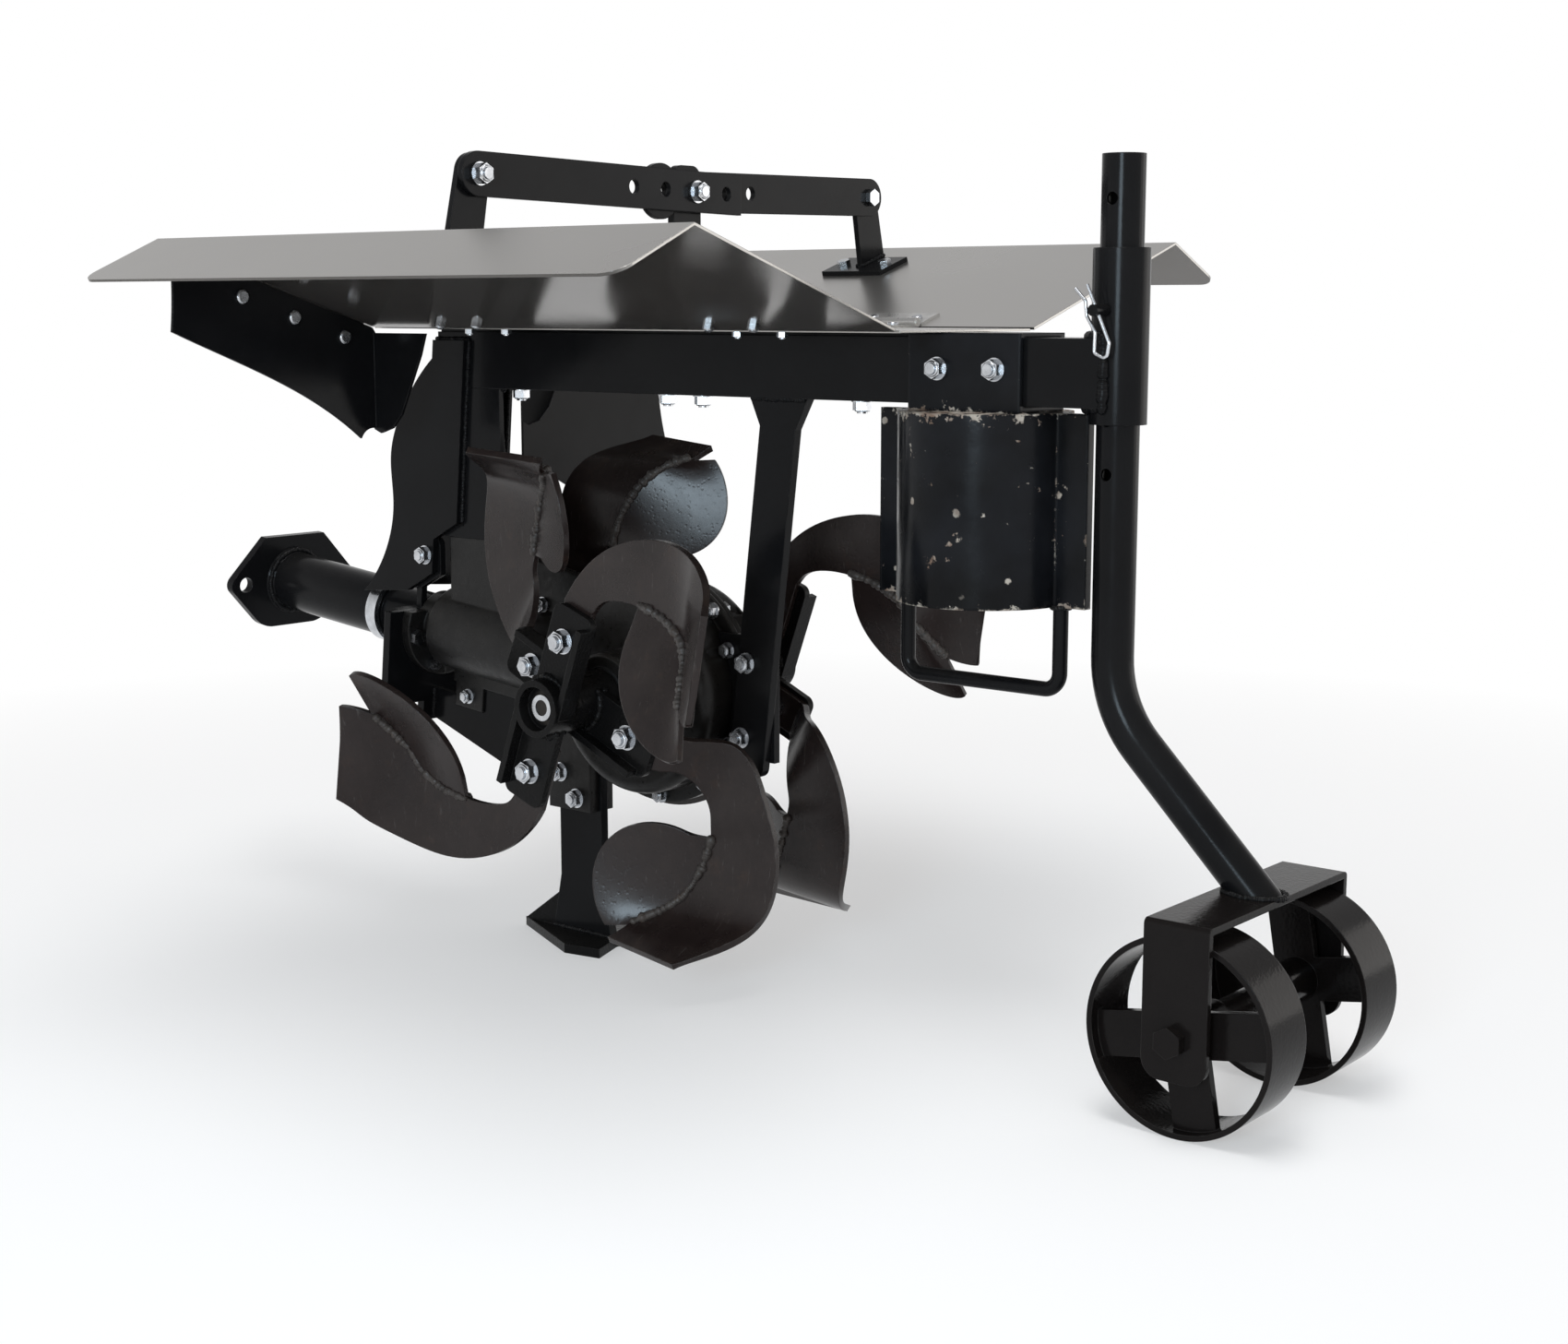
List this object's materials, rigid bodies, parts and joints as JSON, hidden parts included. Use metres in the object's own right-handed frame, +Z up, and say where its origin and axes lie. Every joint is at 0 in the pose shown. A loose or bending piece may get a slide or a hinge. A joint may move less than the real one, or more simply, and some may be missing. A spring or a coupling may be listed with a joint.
{
  "type": "potato digger",
  "caption": "Rotary potato digger attachment for a walk-behind tractor: bevel gearbox, hooked rotor blades under tilting metal wings, share, ballast weight and gauge wheels.",
  "frame": {"origin": "centre of the drive flange face that bolts to the tractor", "axes": "+X right as seen from behind, +Y forwards towards the tractor, +Z up"},
  "size_m": [0.9232, 1.3828, 0.8222],
  "materials": {
    "black_paint": "gloss black enamel",
    "chipped_black_paint": "gloss black enamel, chipped at the rims",
    "black_casting": "black painted casting, slightly dusty",
    "raw_steel": "dark rolled steel with oil film",
    "stainless_sheet": "bright rolled sheet, fine grain",
    "zinc_plate": "bright zinc plate",
    "machined_steel": "machined, oiled",
    "seal_rubber": "moulded rubber"
  },
  "bodies": {
    "frame": {"main_beam": "black_paint", "front_post": "black_paint", "gussets": "black_paint", "deck_plate": "stainless_sheet", "beam_bolts": "zinc_plate", "link_mast": "black_paint", "mast_bolt": "zinc_plate", "post_sleeve": "black_paint", "lock_pin": "black_paint", "pin_clip": "zinc_plate", "rear_strut": "black_paint", "rear_bracket": "black_paint", "frame_bolts": "zinc_plate", "ballast_clamp": "black_paint", "ballast_weight": "chipped_black_paint", "ballast_handle": "black_paint", "drive_tube": "black_paint", "tube_ring": "zinc_plate", "front_plate": "black_paint", "gearbox_left": "black_casting", "gearbox_right": "black_casting", "gearbox_bolts": "zinc_plate", "lower_stay": "black_paint", "share_shank": "black_paint", "share_point": "raw_steel", "shaft_bearings": "machined_steel", "shaft_seals": "seal_rubber", "hinge_deck_leaves": "zinc_plate", "hinge_deck_bolts": "zinc_plate"},
    "rotor": {"rotor_shaft": "machined_steel", "crown_gear": "machined_steel", "rotor_hubs": "black_paint", "hub_end_rings": "zinc_plate", "blade_holders": "raw_steel", "blades_left_outer": "raw_steel", "blades_left_inner": "raw_steel", "blades_right_outer": "raw_steel", "blades_right_inner": "raw_steel", "blade_bolts": "zinc_plate"},
    "input": {"input_shaft": "machined_steel", "bevel_pinion": "machined_steel"},
    "wing_left": {"wing_left": "stainless_sheet", "hinge_leaves_left": "zinc_plate", "link_foot_left": "black_paint", "shield_left": "black_paint", "wing_bolts_left": "zinc_plate"},
    "wing_right": {"wing_right": "stainless_sheet", "hinge_leaves_right": "zinc_plate", "link_foot_right": "black_paint", "shield_right": "black_paint", "wing_bolts_right": "zinc_plate"},
    "link_left": {"link_left": "black_paint", "mast_nut": "zinc_plate"},
    "link_right": {"link_right": "black_paint"},
    "wheel_post": {"gauge_post": "black_paint", "wheel_fork": "black_paint", "wheel_axle": "black_paint"},
    "wheel_left": {"wheel_left": "black_paint"},
    "wheel_right": {"wheel_right": "black_paint"}
  },
  "joints": [
    {"name": "rotor_spin", "type": "hinge", "parent": "frame", "child": "rotor", "pos_m": [0, -0.61005, -0.06498], "axis": [1, 0, 0], "continuous": true},
    {"name": "input_spin", "type": "hinge", "parent": "frame", "child": "input", "pos_m": [0, 0, 0], "axis": [0, 0.9944, 0.1059], "continuous": true},
    {"name": "wing_left_tilt", "type": "hinge", "parent": "frame", "child": "wing_left", "pos_m": [-0.105, -0.632, 0.3085], "axis": [0, 1, 0], "range_deg": [-21, 18]},
    {"name": "wing_right_tilt", "type": "hinge", "parent": "frame", "child": "wing_right", "pos_m": [0.105, -0.632, 0.3085], "axis": [0, -1, 0], "range_deg": [-21, 18]},
    {"name": "link_left_swing", "type": "hinge", "parent": "wing_left", "child": "link_left", "pos_m": [-0.292, -0.659, 0.441], "axis": [0, 1, 0], "range_deg": [-6.5, 7.5]},
    {"name": "link_right_swing", "type": "hinge", "parent": "wing_right", "child": "link_right", "pos_m": [0.292, -0.6527, 0.441], "axis": [0, -1, 0], "range_deg": [-6.5, 7.5]},
    {"name": "post_height", "type": "slide", "parent": "frame", "child": "wheel_post", "axis": [0, 0, 1], "range_m": [-0.094, 0.141]},
    {"name": "wheel_left_spin", "type": "hinge", "parent": "wheel_post", "child": "wheel_left", "pos_m": [-0.087, -1.29, -0.273], "axis": [1, 0, 0], "continuous": true},
    {"name": "wheel_right_spin", "type": "hinge", "parent": "wheel_post", "child": "wheel_right", "pos_m": [0.087, -1.29, -0.273], "axis": [1, 0, 0], "continuous": true}
  ],
  "couplings": [
    {"joint": "input_spin", "follows": "rotor_spin", "ratio": -3.2727},
    {"joint": "link_left_swing", "follows": "wing_left_tilt", "ratio": -0.345},
    {"joint": "link_right_swing", "follows": "wing_right_tilt", "ratio": -0.345}
  ]
}
